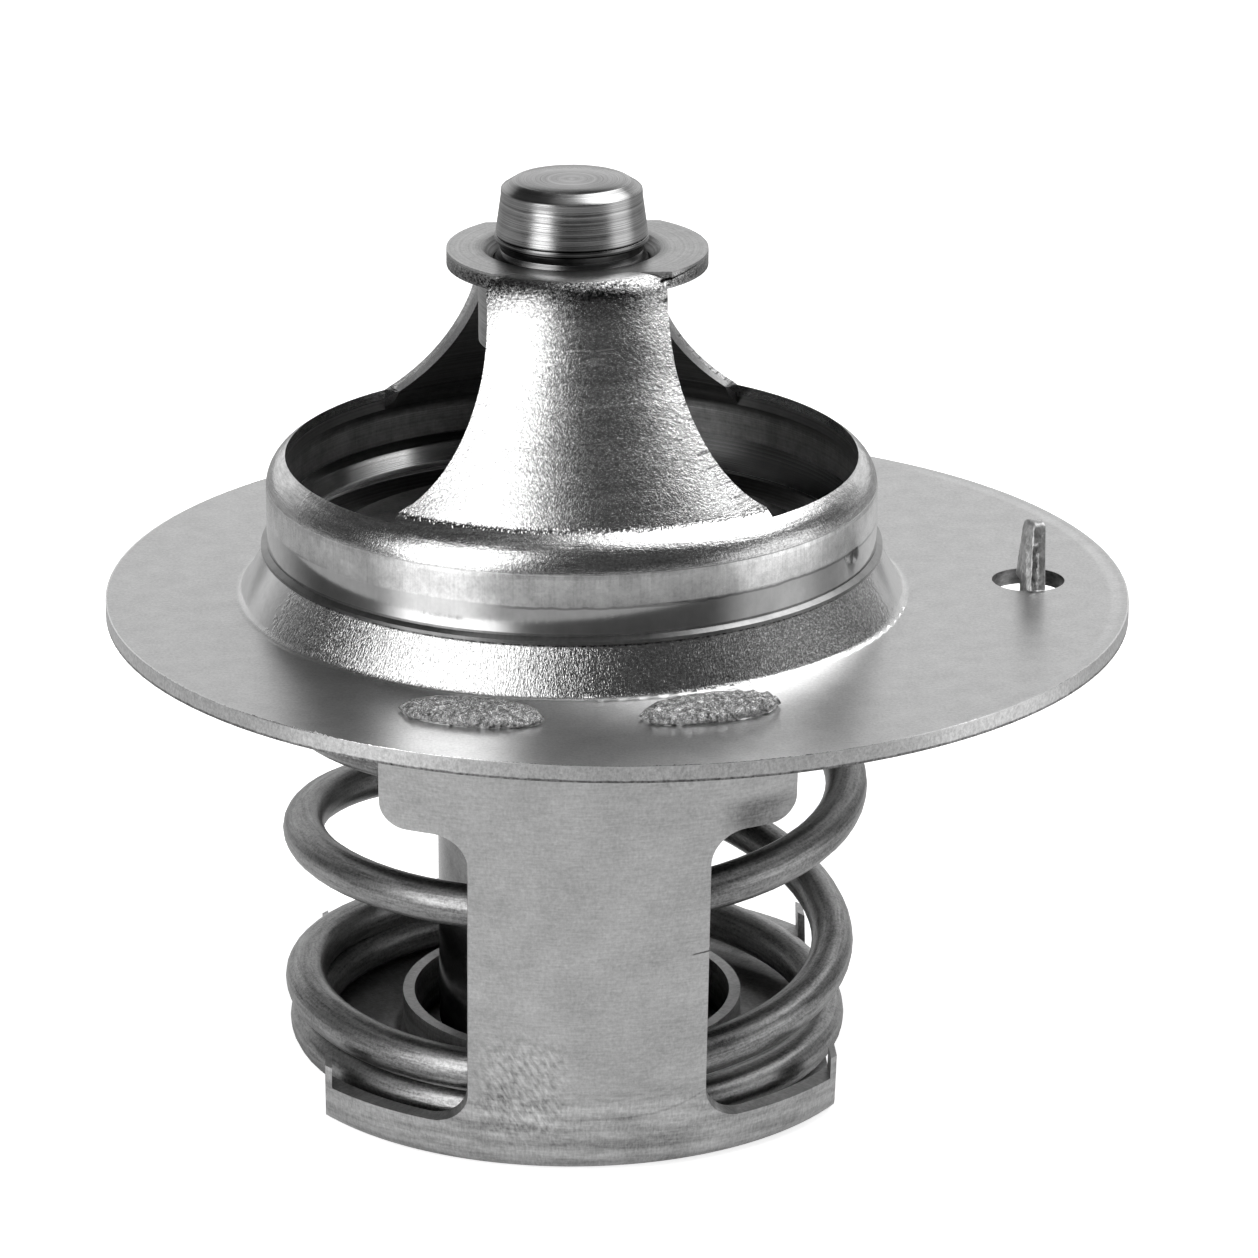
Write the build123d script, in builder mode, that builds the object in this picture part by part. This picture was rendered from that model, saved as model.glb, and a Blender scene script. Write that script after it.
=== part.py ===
from build123d import *
import math
import os

# Engine thermostat: a wax element hangs in a sprung sheet metal cage and pushes its valve off the neck of
# the flange as it warms. Millimetres. The valve axis is Z, the flange's top face is Z = 0, +X points to
# the air bleed pin, and the two bridge legs and the two cage struts face +Y and -Y.

# Flange
frame_sheet = 0.7
flange_radius = 22.0
flange_shift = 1.95

# Neck: a flared foot, a lip, an ironed wall and a rounded shoulder that ends at the cut rim
lip_radius = 13.35
foot_spread = 0.95
foot_fillet = 0.4
lip_height = 2.05
lip_step = 0.25
lip_width = 0.14
lip_fillet = 0.05
shoulder_corner_height = 5.62
shoulder_fillet = 1.55
rim_inset = 0.84
rim_cut_floor = 4.4
flange_root_margin = 0.45

# Bridge: two legs under a flat head with a hole for the adjusting plug
leg_foot_inset = 0.49
leg_foot_height = 6.43
leg_foot_fillet = 0.35
leg_knee_radius = 7.95
leg_knee_height = 11.4
leg_knee_fillet = 18.0
head_corner_radius = 5.35
head_height = 15.2
head_fillet = 1.3
ear_radius = 5.55
ear_shift = 0.24
ear_half_width = 4.1
window_angle = 27.0
window_foot_offset = 2.7
window_side_offset = 1.0
window_side_height = 8.3
window_waist_offset = 0.5
window_waist_height = 10.6
window_top_offset = 1.35

# Adjusting plug, turned, pushed up through the bridge head
plug_nose_radius = 3.28
plug_nose_top_radius = 3.0
plug_face_radius = 2.35
plug_groove_radius = 3.05
plug_groove_height = 0.3
plug_nose_height = 2.25
plug_chamfer_height = 0.42
plug_shank_radius = 3.97
plug_shank_length = 3.6
plug_shank_chamfer = 0.3
plug_hole_clearance = 0.06
plug_hole_chamfer = 0.45
plug_bore_depth = 4.9

# Piston
piston_radius = 2.0
piston_fit = 0.03
piston_tip_length = 0.9
piston_tip_radius = 0.9
piston_top_chamfer = 0.25
piston_end_height = -11.5

# Lower cage: one strip bent into a cup with two struts, T heads and four staked tabs
cage_sheet = 0.8
cage_floor_height = -21.45
cage_cup_radius = 13.4
cage_cup_fillet = 0.85
cage_head_radius = 17.0
cage_half_width = 10.95
cage_lip_height = 1.95
cage_ear_height = 3.0
cage_ear_width = 0.28
strut_half_width = 5.0
strut_foot_fillet = 1.6
strut_head_fillet = 1.5
head_half_width = 8.6
head_bottom_height = -5.5
head_bottom_fillet = 1.1
collar_gap = 0.8
collar_height = 2.78
collar_fillet = 1.3
collar_lip_sheet = 0.5
collar_lip_depth = 1.8
tab_angle = 16.8
tab_half_width = 2.3
tab_slot_clearance = 0.08
stake_half_length = 2.9
stake_half_width = 1.3
stake_height = 0.45
stake_taper = 45.0
edge_radius = 0.12

# Main spring
wire_radius = 0.91
spring_cup_gap = 0.51
spring_rim_margin = 0.14
spring_foot_shift = -0.27
spring_head_shift = 0.3
spring_seat_gap = 0.03
spring_start_angle = 90.0
spring_rises = [
    *(0, 0, 0, 0.007, 0.058, 0.112, 0.1135, 0.217, 0.409),
    *(0.532, 0.572, 0.655, 0.808, 0.885, 0.942, 0.984, 1, 1),
]
points_per_turn = 16

# Valve disc and its moulded seal
disc_sheet = 0.8
disc_top_height = 2.0
disc_rim_setback = 0.05
disc_rim_height = -1.3
disc_fillet = 0.5
disc_rim_fillet = 0.3
seal_wall_clearance = 0.35
seal_thickness = 1.0
seal_flare = 1.05
seal_edge_height = 0.5
seal_top_height = 2.15

# Wax element
can_radius = 5.85
can_wall = 0.5
can_base_gap = 0.85
can_bottom_fillet = 0.9
ring_step = 0.75
crimp_lip = 0.9
crimp_sheet = 0.35
crimp_fillet = 0.2
disc_hole_clearance = 0.05
guide_nose_radius = 4.2
guide_nose_height = 2.3
guide_nose_taper_height = 0.6
guide_nose_top_radius = 3.3
guide_flange_height = 0.45
guide_stem_length = 3.2
washer_height = 0.6
sleeve_wall = 0.9
sleeve_flange_height = 0.7
sleeve_fit = 0.05
sleeve_floor = 0.7

# Air bleed pin
pin_edge_margin = 4.17
pin_hole_radius = 1.57
pin_rod_radius = 0.36
pin_rod_root = 0.2
pin_blade_width = 3.4
pin_blade_top_width = 0.6
pin_blade_height = 2.66
pin_blade_thickness = 0.8
pin_blade_angle = 94.6
pin_blade_lean = 5.0
pin_rest_gap = 0.06
pin_weight_radius = 1.75
pin_travel = 1.3
pin_seat_gap = 0.05
pin_blade_fillet = 0.2

os.makedirs("parts", exist_ok=True)

foot_radius = lip_radius + foot_spread
neck_radius = lip_radius - lip_step
rim_radius = neck_radius - rim_inset
leg_foot_radius = rim_radius - leg_foot_inset
flange_root = foot_radius + flange_root_margin
pin_distance = flange_shift + flange_radius - pin_edge_margin
lip_top = cage_floor_height + cage_lip_height
disc_hub_radius = can_radius + disc_hole_clearance
seal_top_radius = lip_radius - frame_sheet - seal_wall_clearance
seal_outer_radius = seal_top_radius + seal_flare
disc_dome_radius = seal_top_radius - seal_thickness
disc_rim_radius = seal_outer_radius - disc_rim_setback
plug_hole_radius = plug_nose_radius + plug_hole_clearance
cage_floor_top = cage_floor_height + cage_sheet
collar_radius = can_radius + collar_gap + cage_sheet
floor_join_radius = collar_radius + collar_fillet


def save(builder, label):
    builder.part.label = label
    export_step(builder.part, f"parts/{label}.step")


def beside(corners, distance):
    """Corners of the line that runs on the left of another one, at a distance."""
    points = [Vector(*corner) for corner in corners]
    normals = [(b - a).normalized().rotate(Axis.Z, 90) for a, b in zip(points, points[1:])]
    result = [points[0] + normals[0] * distance]
    for point, before, after in zip(points[1:], normals, normals[1:]):
        bisector = before + after
        result.append(point + bisector * (distance / bisector.dot(after)))
    result.append(points[-1] + normals[-1] * distance)
    return result


def bent_sheet(corners, outer_radii, inner_radii, sheet):
    """Section of a bent sheet: its outer line, the line beside it and the two ends."""
    outer = FilletPolyline(*corners, radius=outer_radii)
    inner = FilletPolyline(*beside(corners, sheet), radius=inner_radii)
    Line(outer @ 0, inner @ 0)
    Line(outer @ 1, inner @ 1)


def cage_wall_radius(height):
    """Outer radius of the leaning strut wall at a height."""
    rise = -frame_sheet - cage_floor_height
    return cage_cup_radius + (cage_head_radius - cage_cup_radius) * (height - cage_floor_height) / rise


slot_radius = cage_wall_radius(-frame_sheet / 2) - cage_sheet / 2
slot_half_width = cage_sheet / 2 + tab_slot_clearance
tab_middle = slot_radius * math.sin(math.radians(tab_angle))
tab_angles = [side + turn for side in (90, 270) for turn in (-tab_angle, tab_angle)]

# Cutter for the two bridge windows, square to the leg edges
window_plane = Plane(
    origin=(0, 0, 0),
    x_dir=(math.cos(math.radians(window_angle)), -math.sin(math.radians(window_angle)), 0),
    z_dir=(-math.sin(math.radians(window_angle)), -math.cos(math.radians(window_angle)), 0),
)
head_underside = head_height - frame_sheet
with BuildPart() as window_cutter:
    with BuildSketch(window_plane):
        with BuildLine():
            window_side = Spline(
                (window_foot_offset, leg_foot_height),
                (window_side_offset, window_side_height),
                (window_waist_offset, window_waist_height),
                (window_top_offset, head_underside),
            )
            Polyline(
                window_side @ 1,
                (window_top_offset, 2 * head_height),
                (flange_radius, 2 * head_height),
                (flange_radius, rim_cut_floor),
                (window_foot_offset, rim_cut_floor),
                window_side @ 0,
            )
        make_face()
    extrude(amount=flange_radius, both=True)
    Box(
        flange_radius,
        flange_radius,
        2 * head_height,
        align=(Align.MIN, Align.MIN, Align.MIN),
        mode=Mode.INTERSECT,
    )
    Cylinder(rim_radius, 4 * head_height, mode=Mode.INTERSECT)
    mirror(about=Plane.XZ)
    mirror(about=Plane.YZ)
    with Locations((ear_shift, 0, head_underside)):
        Cylinder(
            ear_radius,
            2 * head_height,
            align=(Align.CENTER, Align.CENTER, Align.MIN),
            mode=Mode.SUBTRACT,
        )

# Upper frame: flange, neck and bridge, drawn from one sheet
with BuildPart() as upper_frame:
    with BuildSketch(Plane.XZ):
        with BuildLine():
            bent_sheet(
                [
                    (flange_root, 0),
                    (foot_radius, 0),
                    (neck_radius, lip_height),
                    (neck_radius, shoulder_corner_height),
                    (leg_foot_radius, leg_foot_height),
                    (leg_knee_radius, leg_knee_height),
                    (head_corner_radius, head_height),
                    (plug_hole_radius, head_height),
                ],
                [
                    foot_fillet,
                    lip_fillet,
                    shoulder_fillet,
                    leg_foot_fillet,
                    leg_knee_fillet,
                    head_fillet,
                ],
                [
                    foot_fillet + frame_sheet,
                    lip_fillet,
                    shoulder_fillet - frame_sheet,
                    leg_foot_fillet + frame_sheet,
                    leg_knee_fillet + frame_sheet,
                    head_fillet - frame_sheet,
                ],
                frame_sheet,
            )
        make_face()
        with BuildLine():
            Polyline(
                (neck_radius - lip_step, lip_height - lip_step),
                (lip_radius, lip_height),
                (lip_radius, lip_height + lip_width),
                (neck_radius - lip_step, lip_height + lip_width + lip_step),
                close=True,
            )
        make_face()
    revolve(axis=Axis.Z)
    with BuildSketch(Plane.XY.offset(-frame_sheet)):
        with Locations((flange_shift, 0)):
            Circle(flange_radius)
        Circle(flange_root, mode=Mode.SUBTRACT)
    extrude(amount=frame_sheet)
    add(window_cutter.part, mode=Mode.SUBTRACT)
    with BuildSketch(Plane.XY.offset(head_underside)):
        with Locations((ear_shift, 0)):
            Circle(ear_radius)
            Rectangle(2 * ear_radius, 2 * ear_half_width, mode=Mode.INTERSECT)
        Circle(plug_hole_radius, mode=Mode.SUBTRACT)
    extrude(amount=frame_sheet)
    hole_edge = upper_frame.faces().sort_by(Axis.Z)[-1].edges().filter_by(GeomType.CIRCLE)
    chamfer(hole_edge.sort_by(SortBy.RADIUS)[0], length=plug_hole_chamfer)
    with Locations((pin_distance, 0, 0)):
        Hole(pin_hole_radius, depth=2 * frame_sheet)
    with BuildSketch(Plane.XY.offset(-frame_sheet)):
        Circle(slot_radius + slot_half_width)
        Circle(slot_radius - slot_half_width, mode=Mode.SUBTRACT)
        with Locations(*[(x, y) for x in (-tab_middle, tab_middle) for y in (-slot_radius, slot_radius)]):
            Rectangle(2 * (tab_half_width + tab_slot_clearance), slot_radius, mode=Mode.INTERSECT)
    extrude(amount=frame_sheet, mode=Mode.SUBTRACT)
save(upper_frame, "upper_frame")

# Adjusting plug, one turned piece with a blind bore for the piston
plug_nose_floor = head_height + plug_groove_height
plug_top = plug_nose_floor + plug_nose_height + plug_chamfer_height
plug_bottom = head_underside - plug_shank_length
with BuildPart() as adjusting_plug:
    with BuildSketch(Plane.XZ):
        with BuildLine():
            Polyline(
                (0, plug_bottom),
                (plug_shank_radius - plug_shank_chamfer, plug_bottom),
                (plug_shank_radius, plug_bottom + plug_shank_chamfer),
                (plug_shank_radius, head_underside),
                (plug_nose_radius, head_underside),
                (plug_nose_radius, head_height - plug_hole_chamfer),
                (plug_groove_radius, head_height),
                (plug_groove_radius, plug_nose_floor),
                (plug_nose_radius, plug_nose_floor),
                (plug_nose_top_radius, plug_nose_floor + plug_nose_height),
                (plug_face_radius, plug_top),
                (0, plug_top),
                close=True,
            )
        make_face()
    revolve(axis=Axis.Z)
    with Locations((0, 0, plug_bottom)):
        Cylinder(
            piston_radius + piston_fit,
            plug_bore_depth,
            align=(Align.CENTER, Align.CENTER, Align.MIN),
            mode=Mode.SUBTRACT,
        )
save(adjusting_plug, "adjusting_plug")

# Piston, a hardened rod with a tapered lower tip
piston_top = plug_bottom + plug_bore_depth
with BuildPart() as piston:
    with BuildSketch(Plane.XZ):
        with BuildLine():
            Polyline(
                (0, piston_end_height),
                (piston_tip_radius, piston_end_height),
                (piston_radius, piston_end_height + piston_tip_length),
                (piston_radius, piston_top - piston_top_chamfer),
                (piston_radius - piston_top_chamfer, piston_top),
                (0, piston_top),
                close=True,
            )
        make_face()
    revolve(axis=Axis.Z)
save(piston, "piston")

# Lower cage: cup, struts, T heads and staked tabs, cut and bent from one strip
with BuildPart() as strip_outline:
    with BuildSketch(Plane.XZ) as cage_front:
        with BuildLine():
            half = FilletPolyline(
                (0, cage_floor_height),
                (cage_half_width, cage_floor_height),
                (cage_half_width, lip_top),
                (strut_half_width, lip_top),
                (strut_half_width, head_bottom_height),
                (head_half_width, head_bottom_height),
                (head_half_width, -frame_sheet),
                (0, -frame_sheet),
                radius=[
                    edge_radius,
                    edge_radius,
                    strut_foot_fillet,
                    strut_head_fillet,
                    head_bottom_fillet,
                    edge_radius,
                ],
            )
            Line(half @ 1, half @ 0)
        make_face()
        mirror(about=Plane.YZ)
        for side in (-1, 1):
            with Locations((side * (cage_half_width - cage_ear_width / 2), cage_floor_height)):
                Rectangle(cage_ear_width, cage_ear_height, align=(Align.CENTER, Align.MIN))
            with Locations((side * tab_middle, -frame_sheet)):
                Rectangle(2 * tab_half_width, frame_sheet, align=(Align.CENTER, Align.MIN))
    extrude(amount=cage_head_radius + cage_sheet, both=True)
with BuildPart() as lower_cage:
    with BuildSketch(Plane.XZ):
        with BuildLine():
            bent_sheet(
                [
                    (floor_join_radius, cage_floor_height),
                    (cage_cup_radius, cage_floor_height),
                    (cage_wall_radius(0), 0),
                ],
                [cage_cup_fillet],
                [cage_cup_fillet - cage_sheet],
                cage_sheet,
            )
        make_face()
    revolve(axis=Axis.Z)
    add(strip_outline.part, mode=Mode.INTERSECT)
    with BuildSketch(Plane.XZ):
        with BuildLine():
            bent_sheet(
                [
                    (collar_radius - cage_sheet, cage_floor_height + collar_height),
                    (collar_radius - cage_sheet, cage_floor_height),
                    (floor_join_radius, cage_floor_height),
                ],
                [collar_fillet],
                [collar_fillet - cage_sheet],
                cage_sheet,
            )
        make_face()
    revolve(axis=Axis.Z)
    with Locations((0, 0, cage_floor_height + collar_height)):
        Cone(
            collar_radius - cage_sheet,
            collar_radius - collar_lip_sheet,
            collar_lip_depth,
            align=(Align.CENTER, Align.CENTER, Align.MAX),
            mode=Mode.SUBTRACT,
        )
    with BuildSketch(Plane.XY):
        for middle in tab_angles:
            with Locations(Location((0, 0, 0), (0, 0, 1), middle)):
                with Locations((slot_radius, 0)):
                    Ellipse(stake_half_width, stake_half_length)
    extrude(amount=stake_height, taper=stake_taper)
save(lower_cage, "lower_cage")

# Main spring: right-handed, closed at both ends, with a slight taper and a slight lean
spring_floor = cage_floor_top + wire_radius + spring_seat_gap
spring_ceiling = disc_rim_height - disc_sheet - wire_radius - spring_seat_gap
spring_turns = (len(spring_rises) - 1) / 4
spring_bottom_radius = cage_cup_radius - cage_sheet - spring_cup_gap - wire_radius
spring_top_radius = disc_rim_radius - spring_rim_margin - wire_radius


def spring_rise(turn):
    """Share of the height reached at a turn, by a smooth curve through the quarter turns' shares."""
    place = turn * 4
    index = min(int(place), len(spring_rises) - 2)
    part = place - index
    last = len(spring_rises) - 1
    before, start, end, after = (spring_rises[min(max(index + step, 0), last)] for step in (-1, 0, 1, 2))
    bend = 2 * before - 5 * start + 4 * end - after + part * (3 * (start - end) + after - before)
    return min(max(start + part / 2 * (end - before + part * bend), 0), 1)


def spring_point(turn):
    """Centre of the wire at a turn counted from the lower end."""
    radius = spring_bottom_radius + (spring_top_radius - spring_bottom_radius) * turn / spring_turns
    angle = math.radians(spring_start_angle) + math.tau * turn
    rise = spring_rise(turn)
    return Vector(
        spring_foot_shift + (spring_head_shift - spring_foot_shift) * rise + radius * math.cos(angle),
        radius * math.sin(angle),
        spring_floor + (spring_ceiling - spring_floor) * rise,
    )


steps = round(spring_turns * points_per_turn)
with BuildPart() as main_spring:
    with BuildLine() as wire_path:
        Spline(*[spring_point(spring_turns * step / steps) for step in range(steps + 1)])
    with BuildSketch(Plane(origin=wire_path.line @ 0, z_dir=wire_path.line % 0)):
        Circle(wire_radius)
    sweep()
save(main_spring, "main_spring")

# Valve disc, pressed: a flat dome with a hub hole, a wall and a rim
with BuildPart() as valve_disc:
    with BuildSketch(Plane.XZ):
        with BuildLine():
            bent_sheet(
                [
                    (disc_rim_radius, disc_rim_height),
                    (disc_dome_radius, disc_rim_height),
                    (disc_dome_radius, disc_top_height),
                    (disc_hub_radius, disc_top_height),
                ],
                [disc_rim_fillet, disc_fillet + disc_sheet],
                [disc_rim_fillet + disc_sheet, disc_fillet],
                disc_sheet,
            )
        make_face()
    revolve(axis=Axis.Z)
save(valve_disc, "valve_disc")

# Rubber seal, moulded round the disc's wall, that closes against the rounded foot of the neck
with BuildPart() as valve_seal:
    with BuildSketch(Plane.XZ):
        with BuildLine():
            Polyline(
                (disc_dome_radius, disc_rim_height + disc_rim_fillet),
                (disc_dome_radius + disc_rim_fillet, disc_rim_height),
                (seal_outer_radius, disc_rim_height),
                (seal_outer_radius, disc_rim_height + seal_edge_height),
                (seal_top_radius, disc_rim_height + seal_top_height),
                (disc_dome_radius, disc_rim_height + seal_top_height),
                close=True,
            )
        make_face()
    revolve(axis=Axis.Z)
save(valve_seal, "valve_seal")

# Element can, drawn: a deep cup with a shoulder ring crimped over the guide's flange
can_bore = can_radius - can_wall
can_bottom_height = cage_floor_height + can_base_gap
ring_radius = can_radius + ring_step
ring_bore = ring_radius - can_wall
ring_floor = disc_top_height + can_wall
guide_shoulder = ring_floor + guide_flange_height
ring_top = guide_shoulder + crimp_sheet
with BuildPart() as element_can:
    with BuildSketch(Plane.XZ):
        with BuildLine():
            Polyline(
                (0, can_bottom_height),
                (can_radius, can_bottom_height),
                (can_radius, disc_top_height),
                (ring_radius, disc_top_height),
                (ring_radius, ring_top),
                (ring_bore - crimp_lip, ring_top),
                (ring_bore - crimp_lip, guide_shoulder),
                (ring_bore, guide_shoulder),
                (ring_bore, ring_floor),
                (can_bore, ring_floor),
                (can_bore, can_bottom_height + can_wall),
                (0, can_bottom_height + can_wall),
                close=True,
            )
        make_face()
    revolve(axis=Axis.Z)
    fillet(element_can.edges().filter_by(GeomType.CIRCLE).group_by(Axis.Z)[0], radius=can_bottom_fillet)
    fillet(element_can.edges().group_by(Axis.Z)[-1].sort_by(SortBy.RADIUS)[-1], radius=crimp_fillet)
save(element_can, "element_can")

# Guide: a turned bush for the piston, held in the can's mouth
guide_floor = ring_floor - guide_stem_length
guide_top = ring_top + guide_nose_height
guide_bore = piston_radius + piston_fit
with BuildPart() as element_guide:
    with BuildSketch(Plane.XZ):
        with BuildLine():
            Polyline(
                (guide_bore, guide_floor),
                (can_bore, guide_floor),
                (can_bore, ring_floor),
                (ring_bore, ring_floor),
                (ring_bore, guide_shoulder),
                (guide_nose_radius, guide_shoulder),
                (guide_nose_radius, guide_top - guide_nose_taper_height),
                (guide_nose_top_radius, guide_top),
                (guide_bore, guide_top),
                close=True,
            )
        make_face()
    revolve(axis=Axis.Z)
save(element_guide, "element_guide")

# Washer that keeps the sleeve from creeping up the piston
washer_floor = guide_floor - washer_height
with BuildPart() as backing_washer:
    with BuildSketch(Plane.XY.offset(washer_floor)):
        Circle(can_bore)
        Circle(guide_bore, mode=Mode.SUBTRACT)
    extrude(amount=washer_height)
save(backing_washer, "backing_washer")

# Rubber sleeve: a blind tube round the piston's lower end, with a flange clamped under the washer
sleeve_bore = piston_radius + sleeve_fit
sleeve_radius = sleeve_bore + sleeve_wall
sleeve_inner_floor = piston_end_height - sleeve_fit
with BuildPart() as rubber_sleeve:
    with BuildSketch(Plane.XZ):
        with BuildLine():
            Polyline(
                (0, sleeve_inner_floor),
                (piston_tip_radius + sleeve_fit, sleeve_inner_floor),
                (sleeve_bore, sleeve_inner_floor + piston_tip_length),
                (sleeve_bore, washer_floor),
                (can_bore, washer_floor),
                (can_bore, washer_floor - sleeve_flange_height),
                (sleeve_radius, washer_floor - sleeve_flange_height),
                (sleeve_radius, sleeve_inner_floor + piston_tip_length - sleeve_floor),
                (piston_tip_radius + sleeve_floor, sleeve_inner_floor - sleeve_floor),
                (0, sleeve_inner_floor - sleeve_floor),
                close=True,
            )
        make_face()
    revolve(axis=Axis.Z)
save(rubber_sleeve, "rubber_sleeve")

# Wax charge: fills the can round and under the sleeve
with BuildPart() as wax_charge:
    with BuildSketch(Plane.XZ):
        with BuildLine():
            Polyline(
                (0, can_bottom_height + can_wall),
                (can_bore, can_bottom_height + can_wall),
                (can_bore, washer_floor - sleeve_flange_height),
                (sleeve_radius, washer_floor - sleeve_flange_height),
                (sleeve_radius, sleeve_inner_floor + piston_tip_length - sleeve_floor),
                (piston_tip_radius + sleeve_floor, sleeve_inner_floor - sleeve_floor),
                (0, sleeve_inner_floor - sleeve_floor),
                close=True,
            )
        make_face()
    revolve(axis=Axis.Z)
save(wax_charge, "wax_charge")

# Air bleed pin: a wire with a weight under the flange and its top hammered into a leaning blade that is
# wider than the hole
blade_turn = math.radians(pin_blade_angle)
blade_lean = math.radians(pin_blade_lean)
blade_plane = Plane(
    origin=(pin_distance, 0, 0),
    x_dir=(math.cos(blade_turn), math.sin(blade_turn), 0),
    z_dir=(
        math.sin(blade_turn) * math.cos(blade_lean),
        -math.cos(blade_turn) * math.cos(blade_lean),
        -math.sin(blade_lean),
    ),
)
weight_rise = math.sqrt(pin_weight_radius**2 - pin_hole_radius**2)
weight_height = -frame_sheet - weight_rise - pin_travel - pin_seat_gap
with BuildPart() as bleed_pin:
    with BuildSketch(blade_plane):
        with BuildLine():
            Polyline(
                (-pin_blade_width / 2, pin_rest_gap),
                (pin_blade_width / 2, pin_rest_gap),
                (pin_blade_top_width / 2, pin_blade_height),
                (-pin_blade_top_width / 2, pin_blade_height),
                close=True,
            )
        make_face()
    extrude(amount=pin_blade_thickness / 2, both=True)
    fillet(bleed_pin.faces().sort_by(Axis.Z)[-1].edges(), radius=pin_blade_fillet)
    with Locations((pin_distance, 0, weight_height)):
        Cylinder(
            pin_rod_radius,
            pin_rod_root - weight_height,
            align=(Align.CENTER, Align.CENTER, Align.MIN),
        )
    with Locations((pin_distance, 0, weight_height)):
        Sphere(pin_weight_radius)
save(bleed_pin, "bleed_pin")
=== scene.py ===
import math
import random
import bpy
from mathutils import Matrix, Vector, noise


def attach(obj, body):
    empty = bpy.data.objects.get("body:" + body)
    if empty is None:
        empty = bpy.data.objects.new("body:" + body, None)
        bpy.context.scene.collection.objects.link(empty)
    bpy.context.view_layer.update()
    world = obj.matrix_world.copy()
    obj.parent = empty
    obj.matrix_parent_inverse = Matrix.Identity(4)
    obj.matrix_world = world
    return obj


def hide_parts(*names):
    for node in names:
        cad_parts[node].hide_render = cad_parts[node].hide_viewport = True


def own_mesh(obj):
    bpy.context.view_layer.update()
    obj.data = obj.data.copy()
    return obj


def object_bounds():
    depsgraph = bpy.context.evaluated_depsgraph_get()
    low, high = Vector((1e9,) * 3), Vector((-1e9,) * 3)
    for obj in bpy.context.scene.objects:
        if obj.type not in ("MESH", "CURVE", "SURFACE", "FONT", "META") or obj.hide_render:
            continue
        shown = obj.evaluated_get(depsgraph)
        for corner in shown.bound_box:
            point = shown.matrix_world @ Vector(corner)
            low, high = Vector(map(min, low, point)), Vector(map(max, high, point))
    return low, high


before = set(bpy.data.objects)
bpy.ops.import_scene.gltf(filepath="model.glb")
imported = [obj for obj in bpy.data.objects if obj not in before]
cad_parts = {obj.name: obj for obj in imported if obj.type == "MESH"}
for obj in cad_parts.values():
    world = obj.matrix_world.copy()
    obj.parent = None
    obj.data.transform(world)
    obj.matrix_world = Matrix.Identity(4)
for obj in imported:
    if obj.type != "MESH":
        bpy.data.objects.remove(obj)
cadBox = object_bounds()
print("frame loaded")

mm = 0.001
narrow = (0.35, 0.65)    # the part of a noise's range that takes its whole swing of tone
wide = (0.3, 0.7)
even = (1, 1, 1)    # no stretch


# Shader maths: a wrapped socket takes plain Python operators
class Wire:
    def __init__(self, shade, socket):
        self.shade = shade
        self.socket = socket

    def maths(self, operation, *others):
        return self.shade.node("Math", {"operation": operation}, dict(enumerate((self, *others))))

    def __add__(self, other):
        return self.maths("ADD", other)

    def __radd__(self, other):
        return self.maths("ADD", other)

    def __sub__(self, other):
        return self.maths("SUBTRACT", other)

    def __rsub__(self, other):
        return self.shade.value(other).maths("SUBTRACT", self)

    def __mul__(self, other):
        return self.maths("MULTIPLY", other)

    def __rmul__(self, other):
        return self.maths("MULTIPLY", other)

    def __pow__(self, other):
        return self.maths("POWER", other)

    def above(self, edge, soft):    # 0 below the edge, 1 above it, smooth across soft
        return self.shade.node(
            "MapRange",
            {"interpolation_type": "SMOOTHSTEP"},
            {"Value": self, "From Min": edge - soft / 2, "From Max": edge + soft / 2},
        )

    def below(self, edge, soft):
        return 1 - self.above(edge, soft)

    def between(self, low, high, soft):
        return self.above(low, soft) * self.below(high, soft)

    def near(self, middle, half, soft):    # 1 within half of the middle
        return (self - middle).maths("ABSOLUTE").below(half, soft)

    def ranged(self, low, high, toLow, toHigh):
        return self.shade.node(
            "MapRange",
            {},
            {"Value": self, "From Min": low, "From Max": high, "To Min": toLow, "To Max": toHigh},
        )


class Shade:
    def __init__(self, tree):
        self.tree = tree
        self.tree.nodes.clear()

    def node(self, kind, settings=None, inputs=None, output=0):
        made = self.tree.nodes.new("ShaderNode" + kind)
        for name, setting in (settings or {}).items():
            setattr(made, name, setting)
        for name, item in (inputs or {}).items():
            self.plug(made.inputs[name], item)
        return Wire(self, made.outputs[output]) if made.outputs else None

    def plug(self, socket, item):
        if isinstance(item, Wire):
            self.tree.links.new(item.socket, socket)
        elif socket.type == "RGBA" and not hasattr(item, "__len__"):
            socket.default_value = (item, item, item, 1)
        else:
            socket.default_value = item

    def value(self, number):
        if isinstance(number, Wire):
            return number
        made = self.tree.nodes.new("ShaderNodeValue")
        made.outputs[0].default_value = number
        return Wire(self, made.outputs[0])

    def split(self, vector):
        made = self.node("SeparateXYZ", {}, {0: vector}).socket.node
        return [Wire(self, made.outputs[i]) for i in range(3)]

    def combine(self, x, y, z):
        return self.node("CombineXYZ", {}, {"X": x, "Y": y, "Z": z})

    def grey(self, value):
        return self.combine(value, value, value)

    def blend(self, factor, first, second):
        return self.node(
            "Mix", {"data_type": "RGBA"}, {"Factor": factor, "A": first, "B": second}, output="Result"
        )

    def grain(self, place, size, stretch=even, detail=2.0, roughness=0.5, distortion=0.0):
        moved = self.node("VectorMath", {"operation": "MULTIPLY"}, {0: place, 1: stretch})
        return self.node(
            "TexNoise",
            {"normalize": True},
            {
                "Vector": moved,
                "Scale": 1 / size,
                "Detail": detail,
                "Roughness": roughness,
                "Distortion": distortion,
            },
        )

    def grains(self, spaces, table):    # one noise for each row of a table: its space, then its settings
        return {name: self.grain(spaces[space], *row) for name, (space, *row) in table.items()}


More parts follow.
